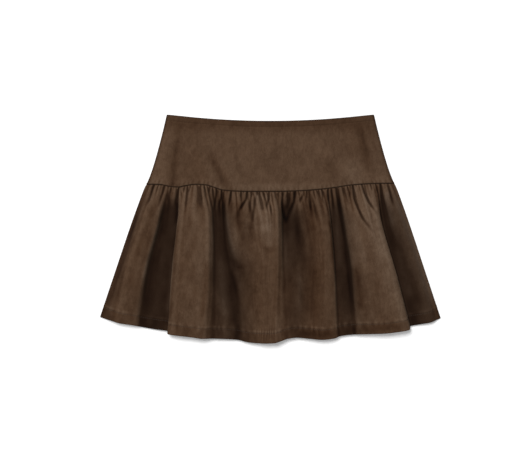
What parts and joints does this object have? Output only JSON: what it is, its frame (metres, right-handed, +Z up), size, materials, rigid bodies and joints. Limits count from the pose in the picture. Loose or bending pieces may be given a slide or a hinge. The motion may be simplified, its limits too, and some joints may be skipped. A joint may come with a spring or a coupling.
{
  "type": "suede mini skirt with a gathered flounce, laid flat",
  "caption": "Short brown suede skirt laid flat on its back: a fitted hip yoke over a gathered flounce that lies in soft folds.",
  "frame": {"origin": "middle of the laid outline, on the surface that the skirt's back rests on", "axes": "+Y towards the waist, +X to the right of the front as it is looked down on, +Z up off the surface"},
  "size_m": [0.5636, 0.3768, 0.0242],
  "materials": {
    "suede": "matte brushed nap",
    "zip_tape": "matte woven",
    "zip_metal": "satin enamel"
  },
  "bodies": {
    "skirt": {"yoke_front": "suede", "yoke_back_left": "suede", "yoke_back_right": "suede", "flounce_front": "suede", "flounce_back_left": "suede", "flounce_back_right": "suede", "zip_tape_left": "zip_tape", "zip_tape_right": "zip_tape", "zip_slider": "zip_metal"},
    "zip_pull": {"zip_pull_tab": "zip_metal"}
  },
  "joints": [
    {"name": "pull_tab_swing", "type": "hinge", "parent": "skirt", "child": "zip_pull", "pos_m": [0, 0.167, 0.00065], "axis": [1, 0, 0], "range_deg": [0, 178]}
  ]
}
